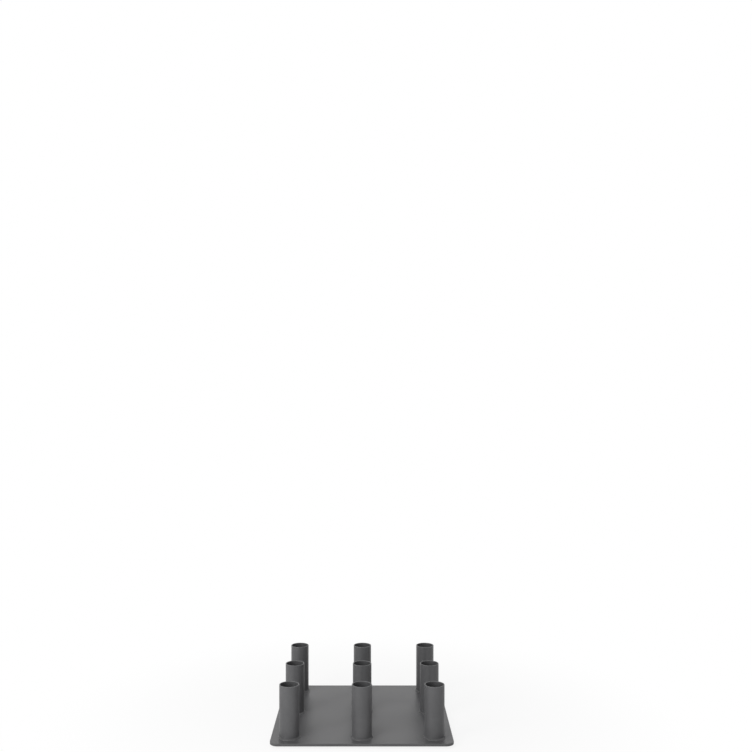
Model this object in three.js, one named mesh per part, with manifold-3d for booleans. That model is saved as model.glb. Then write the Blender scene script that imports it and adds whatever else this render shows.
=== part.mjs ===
// Floor storage rack with nine upright sockets.
// A square steel plate carries a three by three grid of round tubes, each joined to it by a fillet
// weld round its foot. A rubber pad lies at the bottom of each tube, and five screwed-on rubber feet
// carry the plate, one under each corner socket and one under the middle socket.
// Millimetres. +Z is up, +X is to the right and +Y to the rear, as seen from the front.
// The origin is on the floor, under the centre of the plate.

import * as THREE from 'three';
import { mergeVertices } from 'three/addons/utils/BufferGeometryUtils.js';
import Module from 'manifold-3d';

const wasm = await Module();
wasm.setup();

// Base plate
const PLATE_SIDE = 545;
const PLATE_THICKNESS = 8;
const PLATE_CORNER_RADIUS = 25;
const PLATE_EDGE_BREAK = 0.8;

// Socket grid: one row and one column for each name
const ROW_NAMES = ['front', 'middle', 'rear'];
const COLUMN_NAMES = ['left', 'centre', 'right'];
const SOCKET_EDGE_INSET = 55;

// Socket tubes
const TUBE_OUTER_RADIUS = 30.15;
const TUBE_WALL = 3;
const TUBE_LENGTH = 158;
const TUBE_RIM_ROUND = 0.9;

// Fillet welds
const WELD_LEG = 4.5;
const WELD_CROWN = 0.6;
const WELD_ROOT_GAP = 0.2;

// Seat pads, which lie loose in the tubes
const PAD_THICKNESS = 6;
const PAD_SIDE_CLEARANCE = 0.5;
const PAD_EDGE_CHAMFER = 1;

// Rubber feet
const FOOT_HEIGHT = 8;
const FOOT_TOP_RADIUS = 22;
const FOOT_FLOOR_RADIUS = 19;
const FOOT_EDGE_ROUND = 1.5;
const FOOT_WEB = 3;

// Washers and button-head screws that hold the feet
const WASHER_RADIUS = 7.5;
const WASHER_THICKNESS = 1;
const WASHER_SIDE_CLEARANCE = 0.4;
const SCREW_RADIUS = 2.5;
const SCREW_CLEARANCE = 0.3;
const SCREW_HEAD_RADIUS = 4.75;
const SCREW_HEAD_HEIGHT = 2.75;
const SCREW_HEAD_FLAT_SHARE = 0.55;
const SCREW_TIP_CHAMFER = 0.7;
const SCREW_TIP_RECESS = 0.5;
const HEX_KEY_ACROSS_FLATS = 3;
const HEX_KEY_DEPTH = 1.6;
const HEXAGON_SIDES = 6;

// Facets of the round pieces
const TUBE_FACETS = 32;
const FOOT_FACETS = 24;
const FASTENER_FACETS = 16;
const CORNER_CURVE_STEPS = 6;
const RIM_ARC_STEPS = 2;

// One overrun for every cutter that runs out through a face
const CUT_OVERRUN = 0.5;

// Heights and radii that follow from the sizes above
const plateUnderside = FOOT_HEIGHT;
const plateTop = plateUnderside + PLATE_THICKNESS;
const tubeBore = TUBE_OUTER_RADIUS - TUBE_WALL;
const screwHole = SCREW_RADIUS + SCREW_CLEARANCE;
const washerSeat = plateUnderside - FOOT_WEB;
const headSeat = washerSeat - WASHER_THICKNESS;
const footRecess = WASHER_RADIUS + WASHER_SIDE_CLEARANCE;

const powderCoat = new THREE.MeshStandardMaterial({ color: 0x6e6e70, roughness: 0.45, metalness: 0.1 });
const paintedWeld = new THREE.MeshStandardMaterial({ color: 0x68686a, roughness: 0.5, metalness: 0.1 });
const blackRubber = new THREE.MeshStandardMaterial({ color: 0x1c1c1d, roughness: 0.85, metalness: 0 });
const zincSteel = new THREE.MeshStandardMaterial({ color: 0xb4b8bc, roughness: 0.35, metalness: 0.9 });

// Points on an arc, both ends included, as radius and height pairs of a profile
function arcPoints(centreX, centreY, radius, from, to, steps) {
  const points = [];
  for (let i = 0; i <= steps; i += 1) {
    const angle = from + ((to - from) * i) / steps;
    points.push([centreX + radius * Math.cos(angle), centreY + radius * Math.sin(angle)]);
  }
  return points;
}

// A solid of revolution about Z. The profile runs outwards along the bottom, up the outside and back.
function turned(profile, facets) {
  const points = profile.map(([radius, height]) => new THREE.Vector2(radius, height));
  return new THREE.LatheGeometry(points, facets).rotateX(Math.PI / 2);
}

// A turned ring's profile also closes on itself.
function turnedRing(profile, facets) {
  return turned([...profile, profile[0]], facets);
}

function solidOf(geometry) {
  const shape = geometry.clone();
  shape.deleteAttribute('normal');
  shape.deleteAttribute('uv');
  const merged = mergeVertices(shape);
  const vertProperties = new Float32Array(merged.attributes.position.array);
  const triVerts = new Uint32Array(merged.index.array);
  return new wasm.Manifold(new wasm.Mesh({ numProp: 3, vertProperties, triVerts }));
}

function geometryOf(solid) {
  const { vertProperties, triVerts } = solid.getMesh();
  const geometry = new THREE.BufferGeometry();
  geometry.setAttribute('position', new THREE.BufferAttribute(new Float32Array(vertProperties), 3));
  geometry.setIndex(new THREE.BufferAttribute(new Uint32Array(triVerts), 1));
  geometry.computeVertexNormals();
  return geometry;
}

// Centre of each socket, with the name of its place in the grid
function socketPlaces() {
  const firstCentre = -PLATE_SIDE / 2 + SOCKET_EDGE_INSET;
  const rowPitch = (-2 * firstCentre) / (ROW_NAMES.length - 1);
  const columnPitch = (-2 * firstCentre) / (COLUMN_NAMES.length - 1);
  const places = [];
  ROW_NAMES.forEach((row, i) => {
    COLUMN_NAMES.forEach((column, j) => {
      places.push({
        name: `${row}_${column}`,
        x: firstCentre + j * columnPitch,
        y: firstCentre + i * rowPitch,
        onDiagonal: (i - j) % 2 === 0,
      });
    });
  });
  return places;
}

// Rounded square plate with broken edges and a tapped hole above each foot
function basePlateGeometry(footPlaces) {
  const half = PLATE_SIDE / 2;
  const inner = half - PLATE_CORNER_RADIUS;
  const outline = new THREE.Shape();
  outline.absarc(inner, inner, PLATE_CORNER_RADIUS, 0, Math.PI / 2, false);
  outline.absarc(-inner, inner, PLATE_CORNER_RADIUS, Math.PI / 2, Math.PI, false);
  outline.absarc(-inner, -inner, PLATE_CORNER_RADIUS, Math.PI, 1.5 * Math.PI, false);
  outline.absarc(inner, -inner, PLATE_CORNER_RADIUS, 1.5 * Math.PI, 2 * Math.PI, false);
  outline.closePath();
  for (const place of footPlaces) {
    const hole = new THREE.Path();
    hole.absarc(place.x, place.y, screwHole, 0, -Math.PI, true);
    hole.absarc(place.x, place.y, screwHole, -Math.PI, -2 * Math.PI, true);
    outline.holes.push(hole);
  }
  const geometry = new THREE.ExtrudeGeometry(outline, {
    depth: PLATE_THICKNESS - 2 * PLATE_EDGE_BREAK,
    curveSegments: CORNER_CURVE_STEPS,
    bevelThickness: PLATE_EDGE_BREAK,
    bevelSize: PLATE_EDGE_BREAK,
    bevelOffset: -PLATE_EDGE_BREAK,
    bevelSegments: 1,
  });
  return geometry.translate(0, 0, plateUnderside + PLATE_EDGE_BREAK);
}

// Tube with a rounded rim, standing on the plate
function socketTubeGeometry() {
  const top = plateTop + TUBE_LENGTH;
  const arcHeight = top - TUBE_RIM_ROUND;
  return turnedRing([
    [tubeBore, plateTop],
    [TUBE_OUTER_RADIUS, plateTop],
    ...arcPoints(TUBE_OUTER_RADIUS - TUBE_RIM_ROUND, arcHeight, TUBE_RIM_ROUND, 0, Math.PI / 2, RIM_ARC_STEPS),
    ...arcPoints(tubeBore + TUBE_RIM_ROUND, arcHeight, TUBE_RIM_ROUND, Math.PI / 2, Math.PI, RIM_ARC_STEPS),
  ], TUBE_FACETS);
}

// Fillet in the corner between tube and plate, with a slightly crowned face
function weldGeometry() {
  const inside = TUBE_OUTER_RADIUS + WELD_ROOT_GAP;
  const toe = inside + WELD_LEG;
  const crownX = inside + WELD_LEG / 2 + WELD_CROWN * Math.SQRT1_2;
  const crownY = plateTop + WELD_LEG / 2 + WELD_CROWN * Math.SQRT1_2;
  return turnedRing([
    [inside, plateTop],
    [toe, plateTop],
    [crownX, crownY],
    [inside, plateTop + WELD_LEG],
  ], TUBE_FACETS);
}

// Loose disc at the bottom of a tube
function seatPadGeometry() {
  const radius = tubeBore - PAD_SIDE_CLEARANCE;
  const top = plateTop + PAD_THICKNESS;
  return turned([
    [0, plateTop],
    [radius, plateTop],
    [radius, top - PAD_EDGE_CHAMFER],
    [radius - PAD_EDGE_CHAMFER, top],
    [0, top],
  ], TUBE_FACETS);
}

// Tapered foot with a recess below for its washer and screw head
function footGeometry() {
  const floorEdge = arcPoints(
    FOOT_FLOOR_RADIUS - FOOT_EDGE_ROUND, FOOT_EDGE_ROUND, FOOT_EDGE_ROUND, -Math.PI / 2, 0, RIM_ARC_STEPS,
  );
  return turnedRing([
    [footRecess, 0],
    ...floorEdge,
    [FOOT_TOP_RADIUS, plateUnderside],
    [screwHole, plateUnderside],
    [screwHole, washerSeat],
    [footRecess, washerSeat],
  ], FOOT_FACETS);
}

function washerGeometry() {
  return turnedRing([
    [screwHole, headSeat],
    [WASHER_RADIUS, headSeat],
    [WASHER_RADIUS, washerSeat],
    [screwHole, washerSeat],
  ], FASTENER_FACETS);
}

// Button-head screw, head down, with a hexagon socket in its head
function screwGeometry() {
  const crown = headSeat - SCREW_HEAD_HEIGHT;
  const tip = plateTop - SCREW_TIP_RECESS;
  const body = turned([
    [0, crown],
    [SCREW_HEAD_RADIUS * SCREW_HEAD_FLAT_SHARE, crown],
    [SCREW_HEAD_RADIUS, headSeat],
    [SCREW_RADIUS, headSeat],
    [SCREW_RADIUS, tip - SCREW_TIP_CHAMFER],
    [SCREW_RADIUS - SCREW_TIP_CHAMFER, tip],
    [0, tip],
  ], FASTENER_FACETS);
  const keyRadius = HEX_KEY_ACROSS_FLATS / Math.sqrt(3);
  const cutterLength = HEX_KEY_DEPTH + CUT_OVERRUN;
  const cutter = new THREE.CylinderGeometry(keyRadius, keyRadius, cutterLength, HEXAGON_SIDES)
    .rotateX(Math.PI / 2)
    .translate(0, 0, crown + HEX_KEY_DEPTH - cutterLength / 2);
  return geometryOf(solidOf(body).subtract(solidOf(cutter)));
}

const rack = new THREE.Group();

function addPiece(name, geometry, material, x, y) {
  const piece = new THREE.Mesh(geometry, material);
  piece.name = name;
  piece.position.set(x, y, 0);
  rack.add(piece);
}

const sockets = socketPlaces();
const feet = sockets.filter((place) => place.onDiagonal);

addPiece('base_plate', basePlateGeometry(feet), powderCoat, 0, 0);

const tube = socketTubeGeometry();
const weld = weldGeometry();
const pad = seatPadGeometry();
for (const { name, x, y } of sockets) {
  addPiece(`socket_tube_${name}`, tube, powderCoat, x, y);
  addPiece(`weld_bead_${name}`, weld, paintedWeld, x, y);
  addPiece(`seat_pad_${name}`, pad, blackRubber, x, y);
}

const foot = footGeometry();
const washer = washerGeometry();
const screw = screwGeometry();
for (const { name, x, y } of feet) {
  addPiece(`rubber_foot_${name}`, foot, blackRubber, x, y);
  addPiece(`foot_washer_${name}`, washer, zincSteel, x, y);
  addPiece(`foot_screw_${name}`, screw, zincSteel, x, y);
}

export default rack;
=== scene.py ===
"""The finish of a floor rack with nine upright sockets.

The frame holds the rack's solids, in metres: a square plate on five rubber feet, and nine tubes
welded onto it, each with a loose seat pad inside. Each operator here models one group of pieces
finely round those solids and gives it its finish. The last one sets up the studio.
"""

import math

import bmesh
import bpy
from bpy.props import FloatProperty, FloatVectorProperty, IntProperty, PointerProperty
from mathutils import Matrix, Vector, noise


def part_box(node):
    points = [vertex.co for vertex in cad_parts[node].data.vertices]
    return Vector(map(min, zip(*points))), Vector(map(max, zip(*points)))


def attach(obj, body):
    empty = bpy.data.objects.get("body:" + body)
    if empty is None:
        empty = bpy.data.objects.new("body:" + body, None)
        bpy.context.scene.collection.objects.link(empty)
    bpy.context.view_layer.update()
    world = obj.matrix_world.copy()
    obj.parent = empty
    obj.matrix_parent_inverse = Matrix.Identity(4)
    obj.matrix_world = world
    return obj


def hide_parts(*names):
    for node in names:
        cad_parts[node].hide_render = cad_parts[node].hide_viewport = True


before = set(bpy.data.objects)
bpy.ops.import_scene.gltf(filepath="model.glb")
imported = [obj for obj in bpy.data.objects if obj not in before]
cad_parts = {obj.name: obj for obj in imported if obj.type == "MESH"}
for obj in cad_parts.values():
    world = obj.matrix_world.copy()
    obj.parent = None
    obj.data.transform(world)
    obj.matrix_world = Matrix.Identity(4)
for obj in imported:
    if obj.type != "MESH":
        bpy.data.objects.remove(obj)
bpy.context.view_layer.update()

bl_info = {
    "name": "Socket Rack Finish",
    "version": (1, 0, 0),
    "blender": (4, 5, 0),
    "location": "3D View > Sidebar > Socket Rack",
    "description": "Models and finishes a welded floor rack with nine upright sockets",
    "category": "Object",
}

BODY = "root"
FULL_TURN = 2 * math.pi
GOLDEN_ANGLE = math.pi * (3 - math.sqrt(5))

# Every piece: a turned one is spun in sectors, because one long spin is slow, and its large flat
# faces outweigh the roundings beside them where the normals are averaged
MERGE_DISTANCE = 1e-7
SHARP_ANGLE = math.radians(60)
TURN_SECTORS = 12
FLAT_FACE_WEIGHT = 80

# Plate: points round a corner and a hole, and how quickly the wear rises over a cut edge
CORNER_STEPS = 20
HOLE_STEPS = 24
EDGE_WEAR_RISE = 1.4

# Tubes, as shares of the mouth's rounding: the rings of points below the mouth, the start and end of
# the mouth's wear, and the depths where the bore's painted shade is full and where it ends
RIM_RING_SHARES = (1.6, 2.4, 5, 14, 40)
RIM_WEAR_SHARES = (0.5, 2.2)
BORE_SHADE_SHARES = (5, 1)

# Tubes: how much of the bore's height is rubbed
RUBBED_SHARE = 0.8

# Weld beads, as shares of the leg: the toes and the crown of the profile, and its two roundings
WELD_TOE_SHARES = (0.94, 0.012)
WELD_CROWN_SHARE = 0.53
WELD_CURVE_SHARES = (0.06, 0.5)

# Weld beads: the width of the hump where the bead starts, how far a ripple's middle lags behind its
# ends, as a share of a ripple, and how quickly the ripples' spacing and depth and the bead's width
# change round the ring
WELD_STEPS_PER_RIPPLE = 6
WELD_START_WIDTH = math.radians(9)
CHEVRON_SHARE = 0.6
SPACING_CHANGES = 9
DEPTH_CHANGES = 17
WIDTH_CHANGES = 3.1

# Pads, feet, washers and screws
GROOVE_FLANK_SHARE = 0.2
FOOT_EDGE_ROUND = 0.0015
TREAD_STEPS = 12
TREAD_GROOVE_SHARE = 0.3
WASHER_EDGE_SHARE = 0.25
DOME_STEPS = 6
THREAD_STEPS = 6
THREAD_DEPTH_SHARE = 0.55
KEY_CONE_SHARE = 0.35

# Patterns of the finishes: the size of their lumps in metres, then their noise's detail and roughness.
# The last two are the stretch of the upright ones, and the coat's grain as a share of its peel.
CLOUDS = (0.13, 3.0, 0.5)
MOTTLE = (0.011, 3.0, 0.6)
SCUFFS = (0.0022, 3.0, 0.6)
CUT_LINES = (0.0009, 2.0, 0.6)
CHIPS = (0.004, 4.0, 0.7)
SPECKS = (0.0016, 4.0, 0.7)
DUST_PATCHES = (0.05, 3.0, 0.5)
WELD_CLOUDS = (0.012, 3.0, 0.6)
SPATTER = (0.0026, 1.0, 0.5)
RUBBER_GRAIN = (0.0006, 3.0, 0.6)
RUBBER_BLOOM = (0.012, 3.0, 0.5)
ZINC_CLOUDS = (0.0022, 3.0, 0.5)
ZINC_TOOL_MARKS = (0.00025, 2.0, 0.6)
UPRIGHT_STRETCH = (1, 1, 0.06)
GRAIN_PER_PEEL = 0.25

# Patterns of the finishes: where each one begins to show, and where it shows in full, from 0 to 1
SOFT_RANGE = (0.3, 0.7)
SCUFF_RANGE = (0.54, 0.68)
CHIP_RANGE = (0.5, 0.66)
UPWARD_RANGE = (0.7, 0.95)
SPECK_RANGE = (0.62, 0.72)
DUST_PATCH_RANGE = (0.4, 0.7)
SPATTER_RANGE = (0.62, 0.74)
RUBBER_BLOOM_RANGE = (0.35, 0.8)
RUBBER_SPECK_RANGE = (0.6, 0.78)
ZINC_CLOUD_RANGE = (0.35, 0.7)

# Powder coat: its tones as shares of its colour, and how strongly each pattern shows
COAT_TONES = (0.88, 1.12)
# Painted shade: the coat deep in a tube's bore is drawn darker, for the shade that falls there
BORE_SHADE_TONE = 0.75
# Painted shade: the weld bead's coat is drawn darker, for the shade where a tube meets the plate
WELD_SHADE_TONES = (0.66, 0.9)
CLOUD_SHARE = 0.7
BORE_SHADE_SHARE = 0.8
EDGE_WEAR = 0.2
CHIP_WEAR = 0.3
SCUFF_WEAR = 0.15
DUST_SHARE = 0.16
GRAIN_HEIGHT = 0.3
CUT_LINE_HEIGHT = 2
ROUGHNESS_SPREAD = 0.06
WELD_ROUGHNESS_SPREAD = 0.04
WORN_ROUGHNESS = 0.1
DUST_ROUGHNESS = 0.2

# Rubber: the depth of its grain in metres, its tones, and how strongly each pattern shows
RUBBER_GRAIN_DEPTH = 0.00008
BLOOM_TONE = 1.9
BLOOM_SHARE = 0.5
RUBBER_DUST_COLOR = (0.2, 0.195, 0.19, 1)
RUBBER_DUST_SHARE = 0.35
RUBBER_ROUGHNESS = 0.66
BLOOM_ROUGHNESS = 0.1
GRAIN_ROUGHNESS = 0.12

# Zinc: the depth of its tool marks in metres, its cast, and how strongly each pattern shows
TOOL_MARK_DEPTH = 0.000012
ZINC_CAST = (0.86, 0.93, 1.04)
ZINC_CAST_SHARE = 0.6
ZINC_ROUGHNESS = 0.24
ZINC_CLOUD_ROUGHNESS = 0.14

# Studio: how much plain white shows on the floor near the rack, the distances over which the rest of
# it turns white too, how the surround's glow is spread, and the softbox's side and place
WHITE = (1.0, 1.0, 1.0, 1.0)
SEEN_RAYS = ("Is Camera Ray", "Is Glossy Ray", "Is Transmission Ray")
FLOOR_REACH = 30.0
FLOOR_SHOWN_SHARE = 0.87
FLOOR_FADE = (0.35, 1.1)
GLOW_SPREAD = (-0.15, 1.0)
KEY_SIZE = 1.5
KEY_PLACE = (-1.95, -2.17, 1.35)


# Measuring the solids

def places(kind):
    """The places that have a node of this kind, such as front_left, in a fixed order."""
    return sorted(name.removeprefix(kind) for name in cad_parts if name.startswith(kind))


def corners(node):
    """The points of a node's solid."""
    return [vertex.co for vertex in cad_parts[node].data.vertices]


class Turned:
    """The sizes of a turned solid: its axis, its two radii, its two end levels and its height."""

    def __init__(self, node):
        low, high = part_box(node)
        self.axis = Vector(((low.x + high.x) / 2, (low.y + high.y) / 2, 0))
        radii = [(point - self.axis).xy.length for point in corners(node)]
        self.inner = min(radii)
        self.outer = max(radii)
        self.bottom = low.z
        self.top = high.z
        self.height = high.z - low.z


def turned_nodes(kind):
    """The place, the node and the measured solid of each node of this kind."""
    return [(place, kind + place, Turned(kind + place)) for place in places(kind)]


def plate_corner_radius():
    """The plan radius of the plate's corners, from where its straight edge ends."""
    low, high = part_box("base_plate")
    on_edge = [point.x for point in corners("base_plate") if high.y - point.y < MERGE_DISTANCE]
    return high.x - max(on_edge)


def level_radii(node, level):
    """The smallest and largest radius of a turned solid's points at this level."""
    axis = Turned(node).axis
    radii = [(p - axis).xy.length for p in corners(node) if abs(p.z - level) < MERGE_DISTANCE]
    return min(radii), max(radii)


# Properties that a user would change

class RackShape(bpy.types.PropertyGroup):
    """Sizes of the details that the solids leave out."""

    turn_steps: IntProperty(
        name="Turn Steps", description="Steps round a tube", default=96, min=24, max=256)
    arc_steps: IntProperty(
        name="Arc Steps", description="Steps of a rounded edge", default=4, min=1, max=12)
    plate_corner: FloatProperty(
        name="Plate Corner", description="Plan radius of the plate's corners",
        default=plate_corner_radius(), min=0, subtype="DISTANCE", unit="LENGTH")
    plate_edge: FloatProperty(
        name="Plate Edge", description="Rounding of the plate's cut edges",
        default=0.0008, min=0, subtype="DISTANCE", unit="LENGTH")
    rim_round: FloatProperty(
        name="Rim Round", description="Rounding of a tube's mouth",
        default=0.0009, min=0, subtype="DISTANCE", unit="LENGTH")
    seam_height: FloatProperty(
        name="Seam Height", description="Height of the mill seam inside a tube",
        default=0.0003, min=0, subtype="DISTANCE", unit="LENGTH")
    weld_ripples: IntProperty(
        name="Weld Ripples", description="Ripples round one weld bead", default=90, min=8, max=120)
    weld_ripple_depth: FloatProperty(
        name="Ripple Depth", description="Depth between two ripples of a weld bead",
        default=0.0008, min=0, subtype="DISTANCE", unit="LENGTH")
    weld_wander: FloatProperty(
        name="Weld Wander", description="Slow change of a weld bead's width",
        default=0.0006, min=0, subtype="DISTANCE", unit="LENGTH")
    groove_depth: FloatProperty(
        name="Groove Depth", description="Depth of the moulded rings on a seat pad",
        default=0.0008, min=0, subtype="DISTANCE", unit="LENGTH")
    groove_width: FloatProperty(
        name="Groove Width", description="Width of the moulded rings on a seat pad",
        default=0.0014, min=0, subtype="DISTANCE", unit="LENGTH")
    groove_count: IntProperty(
        name="Groove Count", description="Moulded rings on a seat pad", default=3, min=0, max=6)
    tread_depth: FloatProperty(
        name="Tread Depth", description="Depth of the radial tread grooves under a foot",
        default=0.0007, min=0, subtype="DISTANCE", unit="LENGTH")
    tread_count: IntProperty(
        name="Tread Count", description="Radial tread grooves under a foot",
        default=12, min=3, max=36)
    thread_pitch: FloatProperty(
        name="Thread Pitch", description="Pitch of the foot screws' thread",
        default=0.0008, min=0.0002, subtype="DISTANCE", unit="LENGTH")
    key_across_flats: FloatProperty(
        name="Key Size", description="Width across the flats of a screw's hexagon socket",
        default=0.003, min=0, subtype="DISTANCE", unit="LENGTH")
    key_depth: FloatProperty(
        name="Key Depth", description="Depth of a screw's hexagon socket",
        default=0.0016, min=0, subtype="DISTANCE", unit="LENGTH")


class RackFinish(bpy.types.PropertyGroup):
    """Colours and surface of the finishes."""

    coat_color: FloatVectorProperty(
        name="Coat Colour", description="Colour of the powder coat", subtype="COLOR",
        default=(0.088, 0.088, 0.091), min=0, max=1)
    worn_color: FloatVectorProperty(
        name="Worn Colour", description="Colour of the powder coat where it is rubbed",
        subtype="COLOR", default=(0.17, 0.17, 0.174), min=0, max=1)
    coat_roughness: FloatProperty(
        name="Coat Roughness", description="Mean roughness of the powder coat",
        default=0.385, min=0, max=1, subtype="FACTOR")
    coat_gloss: FloatProperty(
        name="Coat Gloss", description="Strength of the powder coat's reflection",
        default=0.44, min=0, max=1, subtype="FACTOR")
    peel_size: FloatProperty(
        name="Peel Size", description="Width of one dimple of the coat's orange peel",
        default=0.0013, min=0.0002, subtype="DISTANCE", unit="LENGTH")
    peel_depth: FloatProperty(
        name="Peel Depth", description="Depth of the coat's orange peel",
        default=0.00011, min=0, subtype="DISTANCE", unit="LENGTH")
    dust_color: FloatVectorProperty(
        name="Dust Colour", description="Colour of the fine dust on faces that look up",
        subtype="COLOR", default=(0.36, 0.35, 0.33), min=0, max=1)
    rubber_color: FloatVectorProperty(
        name="Rubber Colour", description="Colour of the seat pads and feet", subtype="COLOR",
        default=(0.017, 0.017, 0.018), min=0, max=1)
    zinc_color: FloatVectorProperty(
        name="Zinc Colour", description="Colour of the foot screws and washers", subtype="COLOR",
        default=(0.62, 0.64, 0.67), min=0, max=1)


class RackStudio(bpy.types.PropertyGroup):
    """Camera and light. The camera looks level, with the picture shifted down."""

    picture_side: FloatProperty(
        name="Picture Side", description="Side of the square picture",
        default=752, subtype="PIXEL")
    focal_length: FloatProperty(
        name="Focal Length", description="Focal length in pixels of the picture",
        default=893, subtype="PIXEL")
    vanishing_x: FloatProperty(
        name="Vanishing Point", description="Where the depth lines meet, from the left",
        default=365.6, subtype="PIXEL")
    horizon_y: FloatProperty(
        name="Horizon", description="Height of the horizon, from the top",
        default=404, subtype="PIXEL")
    eye_height: FloatProperty(
        name="Eye Height", description="Height of the camera above the plate's top",
        default=0.9975, subtype="DISTANCE", unit="LENGTH")
    eye_distance: FloatProperty(
        name="Eye Distance", description="Distance from the camera to the plate's front edge",
        default=2.621, subtype="DISTANCE", unit="LENGTH")
    eye_side: FloatProperty(
        name="Eye Side", description="How far the camera stands to the right of the rack's middle",
        default=0.0111, subtype="DISTANCE", unit="LENGTH")
    floor_color: FloatVectorProperty(
        name="Floor Colour", description="Colour of the studio floor", subtype="COLOR",
        default=(0.9, 0.9, 0.9), min=0, max=1)
    surround_light: FloatProperty(
        name="Surround Light", description="Light from all round", default=0.41, min=0)
    glow_light: FloatProperty(
        name="Glow Light", description="Extra light from the softbox's side of the surround",
        default=0.4, min=0)
    key_power: FloatProperty(
        name="Key Power", description="Power of the softbox at the front left", default=46,
        min=0, subtype="POWER", unit="POWER")


# Node trees

class Value:
    """An output of a node. Arithmetic on it adds Math nodes."""

    def __init__(self, paint, socket):
        self.paint = paint
        self.socket = socket

    def math(self, operation, *operands):
        """A Math node on these operands, clamped only where its operation does so."""
        return self.paint.add("Math", {"operation": operation}, dict(enumerate(operands)))

    def __add__(self, other):
        return self.math("ADD", self, other)

    def __radd__(self, other):
        return self.math("ADD", other, self)

    def __sub__(self, other):
        return self.math("SUBTRACT", self, other)

    def __rsub__(self, other):
        return self.math("SUBTRACT", other, self)

    def __mul__(self, other):
        return self.math("MULTIPLY", self, other)

    def __rmul__(self, other):
        return self.math("MULTIPLY", other, self)

    def maximum(self, other):
        """The larger of the two values."""
        return self.math("MAXIMUM", self, other)

    def step(self, start, end):
        """0 below start, 1 above end and a smooth rise between them."""
        return self.paint.add(
            "MapRange", {"interpolation_type": "SMOOTHSTEP"},
            {"Value": self, "From Min": start, "From Max": end})


class Paint:
    """A node tree that is built by expressions."""

    def __init__(self, tree):
        self.tree = tree
        tree.nodes.clear()

    def add(self, kind, settings=None, sockets=None, output=0):
        """One node: its settings first, then the values or links of its sockets."""
        node = self.tree.nodes.new("ShaderNode" + kind)
        for name, setting in (settings or {}).items():
            setattr(node, name, setting)
        for name, value in (sockets or {}).items():
            if isinstance(value, Value):
                self.tree.links.new(value.socket, node.inputs[name])
            else:
                node.inputs[name].default_value = value
        return Value(self, node.outputs[output])

    def place(self):
        """Where the shaded point lies in the rack, in metres."""
        return self.add("TexCoord", output="Object")

    def stretched(self, scale):
        """The same, with each axis scaled."""
        return self.add("Mapping", None, {"Vector": self.place(), "Scale": scale})

    def noise(self, size, detail=2.0, roughness=0.5, vector=None):
        """Noise from 0 to 1 whose lumps are about this size, in metres."""
        return self.add(
            "TexNoise", {"noise_dimensions": "3D"},
            {"Vector": vector or self.place(), "Scale": 1 / size, "Detail": detail,
             "Roughness": roughness})

    def attribute(self, name):
        """A number that the mesh carries."""
        return self.add("Attribute", {"attribute_name": name}, None, "Fac")

    def mix(self, share, first, second):
        """Two colours mixed, with all of the second one where share is 1."""
        return self.add("Mix", {"data_type": "RGBA"}, {0: share, 6: first, 7: second}, 2)

    def bump(self, height, distance):
        """A normal from a height of 0 to 1, which stands for this distance."""
        return self.add("Bump", None, {"Height": height, "Distance": distance})

    def surface(self, shader, kind="OutputMaterial"):
        """The output node of the tree, and what it shows."""
        node = self.tree.nodes.new("ShaderNode" + kind)
        self.tree.links.new(shader.socket, node.inputs["Surface"])


def solid_color(color, tone=1):
    """A colour times a tone, with its alpha."""
    return (*(tone * part for part in color), 1.0)


def material(build):
    """The material that this function paints, made on its first use."""
    made = bpy.data.materials.get(build.__name__)
    if not made:
        made = bpy.data.materials.new(build.__name__)
        made.use_nodes = True
        build(Paint(made.node_tree))
    return made


def satin_coat(paint):
    """Satin powder coat in soft clouds, with orange peel, a fine grain and a little dust.

    It is paler where it is rubbed or chipped, darker inside the tubes with painted shade, and
    lined on the plate's cut edges.
    """
    finish = bpy.context.scene.rack_finish
    cloud = paint.noise(*CLOUDS).step(*SOFT_RANGE)
    mottle = paint.noise(*MOTTLE)
    peel = paint.noise(finish.peel_size, detail=2.0, roughness=0.5)
    grain = paint.noise(finish.peel_size * GRAIN_PER_PEEL, detail=1.0)
    upright = paint.stretched(UPRIGHT_STRETCH)
    scuff = paint.noise(*SCUFFS, upright).step(*SCUFF_RANGE)
    cut_lines = paint.noise(*CUT_LINES, upright) * paint.attribute("cut")
    chip = paint.noise(*CHIPS).step(*CHIP_RANGE)
    thin = paint.attribute("edge") * (EDGE_WEAR + chip * CHIP_WEAR)
    worn = thin.maximum(paint.attribute("rubbed") * scuff * SCUFF_WEAR)
    normal = paint.add("NewGeometry", None, None, "Normal")
    upward = paint.add("SeparateXYZ", None, {"Vector": normal}, "Z").step(*UPWARD_RANGE)
    specks = paint.noise(*SPECKS).step(*SPECK_RANGE)
    dust = upward * specks * paint.noise(*DUST_PATCHES).step(*DUST_PATCH_RANGE)
    dark, light = (solid_color(finish.coat_color, tone) for tone in COAT_TONES)
    patches = cloud * CLOUD_SHARE + mottle.step(*SOFT_RANGE) * (1 - CLOUD_SHARE)
    color = paint.mix(patches, dark, light)
    # Painted shade: the coat is drawn darker down inside a tube, where its bore lies in shade
    bore_shade_color = solid_color(finish.coat_color, BORE_SHADE_TONE)
    color = paint.mix(paint.attribute("bore") * BORE_SHADE_SHARE, color, bore_shade_color)
    color = paint.mix(worn, color, solid_color(finish.worn_color))
    color = paint.mix(dust * DUST_SHARE, color, solid_color(finish.dust_color))
    uneven = (cloud + mottle - 1) * ROUGHNESS_SPREAD
    uneven += worn * WORN_ROUGHNESS + dust * DUST_ROUGHNESS
    height = peel + grain * GRAIN_HEIGHT + cut_lines * CUT_LINE_HEIGHT
    paint.surface(paint.add("BsdfPrincipled", None, {
        "Base Color": color,
        "Roughness": finish.coat_roughness + uneven,
        "Specular IOR Level": finish.coat_gloss,
        "Normal": paint.bump(height, finish.peel_depth),
    }))


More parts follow.
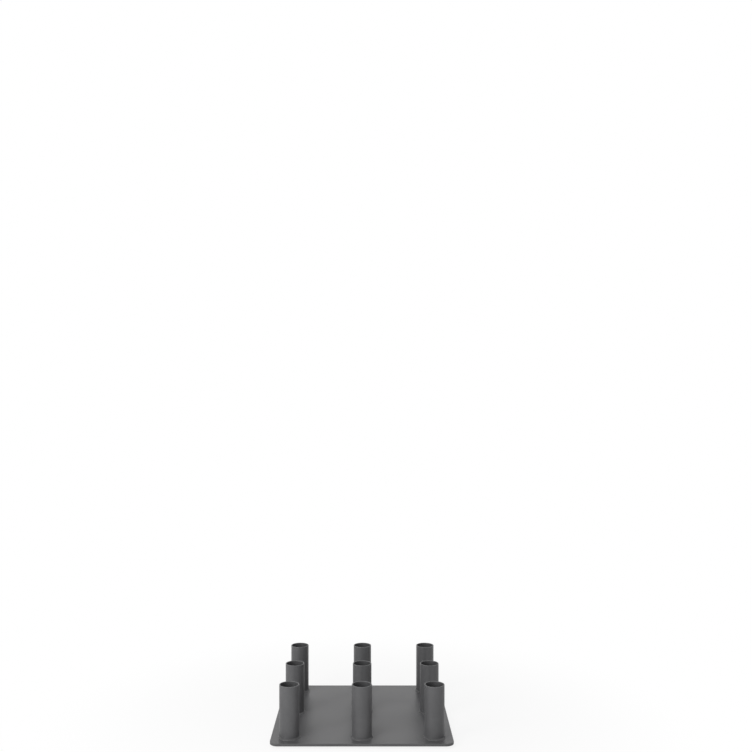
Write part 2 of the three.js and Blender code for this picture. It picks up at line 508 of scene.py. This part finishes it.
def weld_coat(paint):
    """The same powder coat over a weld bead, darker with painted shade, and lumpy with spatter."""
    finish = bpy.context.scene.rack_finish
    cloud = paint.noise(*WELD_CLOUDS)
    peel = paint.noise(finish.peel_size, detail=3.0, roughness=0.55)
    grain = paint.noise(finish.peel_size * GRAIN_PER_PEEL, detail=1.0)
    spatter = paint.noise(*SPATTER).step(*SPATTER_RANGE)
    uneven = (cloud * 2 + grain - 1) * WELD_ROUGHNESS_SPREAD
    # Painted shade: both weld tones lie below the coat's colour, for the shade at a tube's foot
    dark, light = (solid_color(finish.coat_color, tone) for tone in WELD_SHADE_TONES)
    paint.surface(paint.add("BsdfPrincipled", None, {
        "Base Color": paint.mix(cloud.step(*SOFT_RANGE), dark, light),
        "Roughness": finish.coat_roughness + uneven,
        "Specular IOR Level": finish.coat_gloss,
        "Normal": paint.bump(peel + spatter + grain * GRAIN_HEIGHT, finish.peel_depth),
    }))


def moulded_rubber(paint):
    """Matt moulded rubber with a fine grain, pale dust and a faint bloom."""
    color = bpy.context.scene.rack_finish.rubber_color
    grain = paint.noise(*RUBBER_GRAIN)
    bloom = paint.noise(*RUBBER_BLOOM).step(*RUBBER_BLOOM_RANGE)
    dust = paint.noise(*SPECKS).step(*RUBBER_SPECK_RANGE)
    bloomed = paint.mix(bloom * BLOOM_SHARE, solid_color(color), solid_color(color, BLOOM_TONE))
    paint.surface(paint.add("BsdfPrincipled", None, {
        "Base Color": paint.mix(dust * RUBBER_DUST_SHARE, bloomed, RUBBER_DUST_COLOR),
        "Roughness": RUBBER_ROUGHNESS + bloom * BLOOM_ROUGHNESS + grain * GRAIN_ROUGHNESS,
        "Normal": paint.bump(grain, RUBBER_GRAIN_DEPTH),
    }))


def bright_zinc(paint):
    """Bright zinc plate on turned steel: fine tool marks, a blue cast and cloudy spots."""
    color = bpy.context.scene.rack_finish.zinc_color
    cloud = paint.noise(*ZINC_CLOUDS)
    tool_marks = paint.noise(*ZINC_TOOL_MARKS)
    blue = [part * cast for part, cast in zip(color, ZINC_CAST)]
    patches = cloud.step(*ZINC_CLOUD_RANGE) * ZINC_CAST_SHARE
    paint.surface(paint.add("BsdfPrincipled", None, {
        "Base Color": paint.mix(patches, solid_color(color), solid_color(blue)),
        "Metallic": 1.0,
        "Roughness": ZINC_ROUGHNESS + cloud * ZINC_CLOUD_ROUGHNESS,
        "Normal": paint.bump(tool_marks, TOOL_MARK_DEPTH),
    }))


# Mesh helpers

def rounded(outline, steps):
    """Outline points (x, y, radius) as plain points, with an arc at each one that has a radius."""
    points = []
    for i, (x, y, radius) in enumerate(outline):
        corner = Vector((x, y))
        if not radius:
            points.append(corner)
            continue
        before = (Vector(outline[i - 1][:2]) - corner).normalized()
        after = (Vector(outline[(i + 1) % len(outline)][:2]) - corner).normalized()
        half = before.angle(after) / 2
        centre = corner + (before + after).normalized() * (radius / math.sin(half))
        reach = radius / math.tan(half)
        start = corner + before * reach - centre
        end = corner + after * reach - centre
        arc = (start.slerp(end, step / steps) * radius for step in range(steps + 1))
        points.extend(centre + spoke for spoke in arc)
    return points


def turn(profile, steps, closed):
    """A shell turned round Z from a profile of radii and heights, sector by sector."""
    shape = bmesh.new()
    points = [shape.verts.new((radius, 0, height)) for radius, height in profile]
    ends = points[1:] + points[:1] if closed else points[1:]
    edges = [shape.edges.new(pair) for pair in zip(points, ends)]
    sectors = math.gcd(steps, TURN_SECTORS)
    bmesh.ops.spin(
        shape, geom=points + edges, cent=(0, 0, 0), axis=(0, 0, 1), angle=FULL_TURN / sectors,
        steps=steps // sectors)
    first = shape.verts[:] + shape.edges[:] + shape.faces[:]
    for sector in range(1, sectors):
        copied = bmesh.ops.duplicate(shape, geom=first)["geom"]
        bmesh.ops.rotate(
            shape, verts=[item for item in copied if isinstance(item, bmesh.types.BMVert)],
            cent=(0, 0, 0), matrix=Matrix.Rotation(FULL_TURN * sector / sectors, 3, "Z"))
    bmesh.ops.remove_doubles(shape, verts=shape.verts, dist=MERGE_DISTANCE)
    bmesh.ops.recalc_face_normals(shape, faces=shape.faces)
    return shape


def mark(shape, name, measure):
    """Stores a number from 0 to 1 on each vertex, for the finish to read."""
    layer = shape.verts.layers.float.new(name)
    for vertex in shape.verts:
        vertex[layer] = min(1.0, max(0.0, measure(vertex.co)))


def fade(value, start, end):
    """1 at start and before it, 0 at end and beyond it, and an even change between them."""
    return min(1.0, max(0.0, (end - value) / (end - start)))


def add_object(name, data):
    """A new object in the scene."""
    item = bpy.data.objects.new(name, data)
    bpy.context.scene.collection.objects.link(item)
    return item


def add_mesh(shape, name, coat):
    """A new object from a shape, in one material."""
    mesh = bpy.data.meshes.new(name)
    shape.to_mesh(mesh)
    shape.free()
    mesh.materials.append(coat)
    return add_object(name, mesh)


def finish_piece(shape, name, node, coat, axis=None):
    """Makes the piece from its shape, moves it to its place and lets it stand for its node."""
    if axis:
        bmesh.ops.translate(shape, verts=shape.verts, vec=axis)
    for face in shape.faces:
        face.smooth = True
    for link in shape.edges:
        link.smooth = link.calc_face_angle(0) < SHARP_ANGLE
    piece = add_mesh(shape, name, coat)
    normals = piece.modifiers.new("flat_faces_stay_flat", "WEIGHTED_NORMAL")
    normals.mode = "FACE_AREA"
    normals.weight = FLAT_FACE_WEIGHT
    normals.keep_sharp = True
    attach(piece, BODY)
    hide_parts(node)


# Pieces

def build_plate(sizes):
    """The base plate: a rounded square with soft cut edges and a hole above each foot."""
    low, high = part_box("base_plate")
    half = (high.x - low.x) / 2
    shape = bmesh.new()
    bmesh.ops.create_grid(shape, x_segments=1, y_segments=1, size=half)
    bmesh.ops.bevel(
        shape, geom=shape.verts, offset=sizes.plate_corner, offset_type="OFFSET",
        segments=CORNER_STEPS, profile=0.5, affect="VERTICES", material=-1)
    bmesh.ops.translate(shape, verts=shape.verts, vec=(0, 0, low.z))
    rim = shape.edges[:]
    bmesh.ops.delete(shape, geom=shape.faces[:], context="FACES_ONLY")
    for place in places("foot_screw_"):
        centre = Turned("foot_screw_" + place).axis
        centre.z = low.z
        made = bmesh.ops.create_circle(
            shape, segments=HOLE_STEPS, radius=Turned("foot_washer_" + place).inner,
            matrix=Matrix.Translation(centre))
        rim += {link for vertex in made["verts"] for link in vertex.link_edges}
    bmesh.ops.triangle_fill(shape, use_beauty=True, edges=rim)
    grown = bmesh.ops.extrude_face_region(shape, geom=shape.faces[:], use_keep_orig=True)["geom"]
    top = [item for item in grown if isinstance(item, bmesh.types.BMVert)]
    bmesh.ops.translate(shape, verts=top, vec=(0, 0, high.z - low.z))
    bmesh.ops.recalc_face_normals(shape, faces=shape.faces)
    edges = [link for link in shape.edges if link.calc_face_angle(0) > SHARP_ANGLE]
    bmesh.ops.bevel(
        shape, geom=edges, offset=sizes.plate_edge, offset_type="OFFSET",
        segments=sizes.arc_steps, profile=0.5, affect="EDGES", material=-1)

    def inset(point):
        """How far a point lies inside the plate's outline."""
        past = [max(0, abs(value) - half + sizes.plate_corner) for value in point.xy]
        return sizes.plate_corner - Vector(past).length

    def to_face(point):
        """How far a point lies from the nearer large face."""
        return min(high.z - point.z, point.z - low.z)

    def wear(point):
        """How worn a point is: most on the rounding between a large face and a cut edge."""
        return EDGE_WEAR_RISE * (1 - max(inset(point), to_face(point)) / sizes.plate_edge)

    mark(shape, "edge", wear)
    mark(shape, "cut", lambda point: fade(inset(point), 0, sizes.plate_edge / 2))
    return shape


def build_tube(sizes, tube, seam_angle):
    """A tube with a rounded mouth, and the low ridge of its mill seam inside."""
    mouth = sizes.rim_round
    depths = [mouth * share for share in RIM_RING_SHARES]
    outline = [(tube.inner, tube.bottom, 0), (tube.outer, tube.bottom, 0)]
    outline += [(tube.outer, tube.top - depth, 0) for depth in reversed(depths)]
    outline += [(tube.outer, tube.top, mouth), (tube.inner, tube.top, mouth)]
    outline += [(tube.inner, tube.top - depth, 0) for depth in depths]
    shape = turn(rounded(outline, sizes.arc_steps), sizes.turn_steps, closed=True)
    step = FULL_TURN / sizes.turn_steps
    seam = Vector((math.cos(seam_angle), math.sin(seam_angle)))
    for vertex in shape.verts:
        on_bore = vertex.co.xy.length - tube.inner < MERGE_DISTANCE
        if on_bore and vertex.co.xy.angle(seam) < step / 2:
            vertex.co.xy *= 1 - sizes.seam_height / tube.inner
    middle = (tube.inner + tube.outer) / 2
    wear_reach = [mouth * share for share in RIM_WEAR_SHARES]
    shade_reach = [mouth * share for share in BORE_SHADE_SHARES]
    rubbed_depth = tube.height * RUBBED_SHARE

    def depth(point):
        """How far a point lies below the mouth."""
        return tube.top - point.z

    def inside(point):
        """True in the bore and on the inner half of the mouth."""
        return point.xy.length < middle

    mark(shape, "edge", lambda point: fade(depth(point), *wear_reach))
    mark(shape, "rubbed", lambda point: inside(point) * fade(depth(point), 0, rubbed_depth))
    # Painted shade: how much darker the bore is drawn, full from five mouth roundings deep
    mark(shape, "bore", lambda point: inside(point) * fade(depth(point), *shade_reach))
    return shape


def build_weld(sizes, weld, tube_radius, start_angle):
    """A weld bead: a round crown with ripples, a slow wander and the hump of its start."""
    leg = weld.outer - tube_radius
    out, up = (share * leg for share in WELD_TOE_SHARES)
    crown = WELD_CROWN_SHARE * leg
    toe_round, crown_round = (share * leg for share in WELD_CURVE_SHARES)
    outline = [
        (0, 0, 0), (leg, 0, 0), (out, up, toe_round), (crown, crown, crown_round),
        (up, out, toe_round), (0, leg, 0)]
    profile = [
        (tube_radius + across, weld.bottom + height)
        for across, height in rounded(outline, sizes.arc_steps)]
    shape = turn(profile, sizes.weld_ripples * WELD_STEPS_PER_RIPPLE, closed=True)
    for vertex in shape.verts:
        across = vertex.co.xy.length - tube_radius
        height = vertex.co.z - weld.bottom
        if across + height < MERGE_DISTANCE:
            continue
        turned = (math.atan2(vertex.co.y, vertex.co.x) - start_angle) % FULL_TURN
        ring = Vector((math.cos(turned), math.sin(turned), start_angle))
        lag = CHEVRON_SHARE * math.sin(math.pi * across / leg)
        spacing, depth, width = (
            noise.noise(ring * changes)
            for changes in (SPACING_CHANGES, DEPTH_CHANGES, WIDTH_CHANGES))
        phase = turned / FULL_TURN * sizes.weld_ripples + lag + spacing / 2
        trough = (1 - abs(math.sin(math.pi * phase))) * (1 + depth) / 2
        hump = math.exp(-((turned / WELD_START_WIDTH) ** 2))
        wander = (1 + width) * (1 - hump) / 2
        keep = 1 - (sizes.weld_ripple_depth * trough + sizes.weld_wander * wander) / leg
        vertex.co.xy *= (tube_radius + across * keep) / vertex.co.xy.length
        vertex.co.z = weld.bottom + height * keep
    return shape


def build_pad(sizes, pad):
    """A seat pad: a rubber disc with a soft edge and moulded rings."""
    soft = sizes.rim_round
    flank = sizes.groove_width * GROOVE_FLANK_SHARE
    wide = sizes.groove_width / 2
    low = pad.top - sizes.groove_depth
    outline = [(0, pad.bottom, 0), (pad.outer, pad.bottom, soft / 2), (pad.outer, pad.top, soft)]
    for ring in range(sizes.groove_count, 0, -1):
        middle = pad.outer * ring / (sizes.groove_count + 1)
        outline += [
            (middle + wide, pad.top, flank / 2), (middle + wide - flank, low, flank / 2),
            (middle - wide + flank, low, flank / 2), (middle - wide, pad.top, flank / 2)]
    outline.append((0, pad.top, 0))
    return turn(rounded(outline, sizes.arc_steps), sizes.turn_steps, closed=False)


def build_foot(sizes, foot, recess, rim, web_level):
    """A tapered rubber foot with a recess for its screw and radial grooves in its tread."""
    soft = sizes.rim_round / 2
    tread_start = (recess + rim) / 2
    outline = [
        (recess, foot.bottom, soft), (tread_start, foot.bottom, 0),
        (tread_start + soft, foot.bottom, 0),
        (rim + FOOT_EDGE_ROUND, foot.bottom, FOOT_EDGE_ROUND),
        (foot.outer, foot.top, soft), (foot.inner, foot.top, 0),
        (foot.inner, web_level, 0), (recess, web_level, 0)]
    steps = sizes.tread_count * TREAD_STEPS
    shape = turn(rounded(outline, sizes.arc_steps), steps, closed=True)
    for vertex in shape.verts:
        turned = math.atan2(vertex.co.y, vertex.co.x) / FULL_TURN * sizes.tread_count % 1
        grooved = vertex.co.xy.length > tread_start + soft / 2 and turned < TREAD_GROOVE_SHARE
        floor_level = foot.bottom + sizes.tread_depth * grooved
        vertex.co.z = max(vertex.co.z, floor_level)
    return shape


def build_washer(sizes, washer):
    """A flat washer with eased edges."""
    soft = washer.height * WASHER_EDGE_SHARE
    outline = [
        (washer.inner, washer.bottom, soft), (washer.outer, washer.bottom, soft),
        (washer.outer, washer.top, soft), (washer.inner, washer.top, soft)]
    return turn(rounded(outline, sizes.arc_steps), sizes.turn_steps // 2, closed=True)


def build_screw(sizes, screw, crown_radius, shank_radius, head_seat):
    """A button-head screw, head down, with a hexagon socket, a cut thread and a chamfered end."""
    chamfer = sizes.thread_pitch
    profile = []
    for step in range(DOME_STEPS + 1):
        angle = math.pi / 2 * step / DOME_STEPS
        radius = crown_radius + (screw.outer - crown_radius) * math.sin(angle)
        profile.append((radius, screw.bottom + (head_seat - screw.bottom) * (1 - math.cos(angle))))
    profile.append((shank_radius, head_seat))
    thread_end = screw.top - chamfer
    rings = int((thread_end - head_seat) / sizes.thread_pitch * THREAD_STEPS)
    thread_start = head_seat + sizes.thread_pitch / 2
    for ring in range(rings + 1):
        level = thread_start + (thread_end - thread_start) * ring / rings
        profile.append((shank_radius, level))
    profile += [(shank_radius - chamfer, screw.top), (0, screw.top)]
    shape = turn(profile, sizes.turn_steps // 2, closed=False)
    half_depth = sizes.thread_pitch * THREAD_DEPTH_SHARE / 2
    for vertex in shape.verts:
        if thread_start < vertex.co.z <= thread_end:
            along = (vertex.co.z - head_seat) / sizes.thread_pitch
            phase = along - math.atan2(vertex.co.y, vertex.co.x) / FULL_TURN
            depth = half_depth * (1 - math.cos(FULL_TURN * phase))
            vertex.co.xy *= 1 - depth / shank_radius
    cut_hexagon(shape, sizes, screw.bottom)
    return shape


def cut_hexagon(shape, sizes, crown):
    """Fills the open crown of a screw's head with a hexagon socket that ends in a drilled cone."""
    half_flats = sizes.key_across_flats / 2
    sector = FULL_TURN / 6
    loop = [link for link in shape.edges if link.is_boundary]
    for depth in (0, sizes.key_depth):
        grown = bmesh.ops.extrude_edge_only(shape, edges=loop)["geom"]
        loop = [item for item in grown if isinstance(item, bmesh.types.BMEdge)]
        for vertex in (item for item in grown if isinstance(item, bmesh.types.BMVert)):
            angle = math.atan2(vertex.co.y, vertex.co.x)
            from_flat = (angle + sector / 2) % sector - sector / 2
            radius = half_flats / math.cos(from_flat)
            vertex.co = (radius * math.cos(angle), radius * math.sin(angle), crown + depth)
    grown = bmesh.ops.extrude_edge_only(shape, edges=loop)["geom"]
    cone = [item for item in grown if isinstance(item, bmesh.types.BMVert)]
    tip = (0, 0, crown + sizes.key_depth + half_flats * KEY_CONE_SHARE)
    bmesh.ops.pointmerge(shape, verts=cone, merge_co=tip)
    bmesh.ops.recalc_face_normals(shape, faces=shape.faces)


# Operators, one for each group of pieces

class RACK_OT_plate(bpy.types.Operator):
    """Model the base plate with its eased edges and tapped holes"""

    bl_idname = "rack.plate"
    bl_label = "Base Plate"

    def execute(self, context):
        shape = build_plate(context.scene.rack_shape)
        coat = material(satin_coat)
        finish_piece(shape, "plate", "base_plate", coat)
        return {"FINISHED"}


class RACK_OT_tubes(bpy.types.Operator):
    """Model the nine socket tubes with their rounded mouths"""

    bl_idname = "rack.tubes"
    bl_label = "Socket Tubes"

    def execute(self, context):
        coat = material(satin_coat)
        for i, (place, node, tube) in enumerate(turned_nodes("socket_tube_")):
            shape = build_tube(context.scene.rack_shape, tube, GOLDEN_ANGLE * i)
            finish_piece(shape, "tube_" + place, node, coat, tube.axis)
        return {"FINISHED"}


class RACK_OT_welds(bpy.types.Operator):
    """Model the rippled weld bead round each tube's foot"""

    bl_idname = "rack.welds"
    bl_label = "Weld Beads"

    def execute(self, context):
        coat = material(weld_coat)
        for i, (place, node, weld) in enumerate(turned_nodes("weld_bead_")):
            tube_radius = Turned("socket_tube_" + place).outer
            start_angle = GOLDEN_ANGLE * (i + 0.5)
            shape = build_weld(context.scene.rack_shape, weld, tube_radius, start_angle)
            finish_piece(shape, "weld_" + place, node, coat, weld.axis)
        return {"FINISHED"}


class RACK_OT_pads(bpy.types.Operator):
    """Model the moulded seat pad at the bottom of each tube"""

    bl_idname = "rack.pads"
    bl_label = "Seat Pads"

    def execute(self, context):
        rubber = material(moulded_rubber)
        for place, node, pad in turned_nodes("seat_pad_"):
            shape = build_pad(context.scene.rack_shape, pad)
            finish_piece(shape, "pad_" + place, node, rubber, pad.axis)
        return {"FINISHED"}


class RACK_OT_feet(bpy.types.Operator):
    """Model the rubber feet under the plate"""

    bl_idname = "rack.feet"
    bl_label = "Rubber Feet"

    def execute(self, context):
        rubber = material(moulded_rubber)
        for place, node, foot in turned_nodes("rubber_foot_"):
            recess, rim = level_radii(node, foot.bottom)
            web_level = Turned("foot_washer_" + place).top
            shape = build_foot(context.scene.rack_shape, foot, recess, rim, web_level)
            finish_piece(shape, "foot_" + place, node, rubber, foot.axis)
        return {"FINISHED"}


class RACK_OT_fasteners(bpy.types.Operator):
    """Model the washer and the button-head screw that hold each foot"""

    bl_idname = "rack.fasteners"
    bl_label = "Washers and Screws"

    def execute(self, context):
        sizes = context.scene.rack_shape
        plating = material(bright_zinc)
        for place, screw_node, screw in turned_nodes("foot_screw_"):
            washer_node = "foot_washer_" + place
            washer = Turned(washer_node)
            shape = build_washer(sizes, washer)
            finish_piece(
                shape, "washer_" + place, washer_node, plating, washer.axis)
            crown_radius = level_radii(screw_node, screw.bottom)[1]
            shank_radius = level_radii(screw_node, washer.bottom)[0]
            shape = build_screw(sizes, screw, crown_radius, shank_radius, washer.bottom)
            finish_piece(shape, "screw_" + place, screw_node, plating, screw.axis)
        return {"FINISHED"}


# Studio

def ray_kinds(paint):
    """1 for a ray from the camera, and 1 for a ray in a reflection or through glass."""
    camera, glossy, through = (paint.add("LightPath", None, None, name) for name in SEEN_RAYS)
    return camera, glossy.maximum(through)


def studio_floor(paint):
    """A pale floor that keeps shadows near the rack and shows white further out."""
    studio = bpy.context.scene.rack_studio
    camera, reflected = ray_kinds(paint)
    away = paint.add("VectorMath", {"operation": "LENGTH"}, {0: paint.place()}, "Value")
    near = camera * FLOOR_SHOWN_SHARE
    far = camera + reflected
    pale = paint.add("BsdfDiffuse", None, {"Color": solid_color(studio.floor_color)})
    white = paint.add("Emission", None, {"Color": WHITE, "Strength": 1.0})
    share = near + (far - near) * away.step(*FLOOR_FADE)
    paint.surface(paint.add("MixShader", None, {0: share, 1: pale, 2: white}))


def studio_world(paint):
    """A white surround, which lights less than it shows, and more from the softbox's side."""
    studio = bpy.context.scene.rack_studio
    camera, reflected = ray_kinds(paint)
    direction = paint.add("TexCoord", output="Generated")
    toward_key = Vector(KEY_PLACE).normalized()
    facing = paint.add(
        "VectorMath", {"operation": "DOT_PRODUCT"}, {0: direction, 1: toward_key}, "Value")
    lighting = studio.surround_light + facing.step(*GLOW_SPREAD) * studio.glow_light
    seen = camera + reflected
    strength = seen + (1 - seen) * lighting
    background = paint.add("Background", None, {"Color": WHITE, "Strength": strength})
    paint.surface(background, "OutputWorld")


def add_floor():
    """The floor round the rack."""
    shape = bmesh.new()
    bmesh.ops.create_grid(shape, x_segments=1, y_segments=1, size=FLOOR_REACH)
    floor = add_mesh(shape, "floor", material(studio_floor))


def add_surround(scene):
    """The surround that lights the rack from all sides."""
    scene.world = bpy.data.worlds.new("surround")
    scene.world.use_nodes = True
    studio_world(Paint(scene.world.node_tree))


def add_softbox(power, target):
    """The softbox at the front left, turned to a point."""
    lamp = bpy.data.lights.new("key_softbox", "AREA")
    lamp.shape = "SQUARE"
    lamp.size = KEY_SIZE
    lamp.energy = power
    key = add_object("key_softbox", lamp)
    key.location = KEY_PLACE
    key.rotation_euler = (target - key.location).to_track_quat("-Z", "Y").to_euler()


def add_camera(studio, front, plate_top):
    """A level camera in front of the plate's front edge, with its picture shifted."""
    side = studio.picture_side
    lens = bpy.data.cameras.new("camera")
    lens.lens = lens.sensor_width * studio.focal_length / side
    lens.shift_x = (side / 2 - studio.vanishing_x) / side
    lens.shift_y = (studio.horizon_y - side / 2) / side
    lens.clip_end = 2 * FLOOR_REACH
    camera = add_object("camera", lens)
    camera.location = (studio.eye_side, front - studio.eye_distance, plate_top + studio.eye_height)
    camera.rotation_euler = (math.pi / 2, 0, 0)
    return camera


class RACK_OT_studio(bpy.types.Operator):
    """Set up the floor, the surround, the softbox and the camera"""

    bl_idname = "rack.studio"
    bl_label = "Studio"

    def execute(self, context):
        scene = context.scene
        low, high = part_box("base_plate")
        add_floor()
        add_surround(scene)
        add_softbox(scene.rack_studio.key_power, Vector((0, 0, high.z)))
        scene.camera = add_camera(scene.rack_studio, low.y, high.z)
        scene.view_settings.view_transform = "Standard"
        return {"FINISHED"}


class RACK_PT_finish(bpy.types.Panel):
    """The rack's steps, in order, and their sizes and colours"""

    bl_idname = "RACK_PT_finish"
    bl_label = "Socket Rack"
    bl_space_type = "VIEW_3D"
    bl_region_type = "UI"
    bl_category = "Socket Rack"

    def draw(self, context):
        layout = self.layout
        for step in STEPS:
            layout.operator(step.bl_idname, text=step.bl_label)
        scene = context.scene
        for group in (scene.rack_shape, scene.rack_finish, scene.rack_studio):
            box = layout.box()
            for name in type(group).__annotations__:
                box.prop(group, name)


STEPS = (
    RACK_OT_plate, RACK_OT_tubes, RACK_OT_welds, RACK_OT_pads, RACK_OT_feet, RACK_OT_fasteners,
    RACK_OT_studio)
GROUPS = {"rack_shape": RackShape, "rack_finish": RackFinish, "rack_studio": RackStudio}
CLASSES = (*GROUPS.values(), *STEPS, RACK_PT_finish)


def register():
    """Registers the classes and gives the scene its properties."""
    for item in CLASSES:
        bpy.utils.register_class(item)
    for name, group in GROUPS.items():
        setattr(bpy.types.Scene, name, PointerProperty(type=group))


def unregister():
    """Takes away what register added."""
    for name in GROUPS:
        delattr(bpy.types.Scene, name)
    for item in reversed(CLASSES):
        bpy.utils.unregister_class(item)


def run(step):
    """Calls one step's operator by its name."""
    group, name = step.bl_idname.split(".")
    getattr(getattr(bpy.ops, group), name)()


def main():
    """Builds every piece and the studio."""
    register()
    for step in STEPS:
        run(step)


if __name__ == "__main__":
    main()
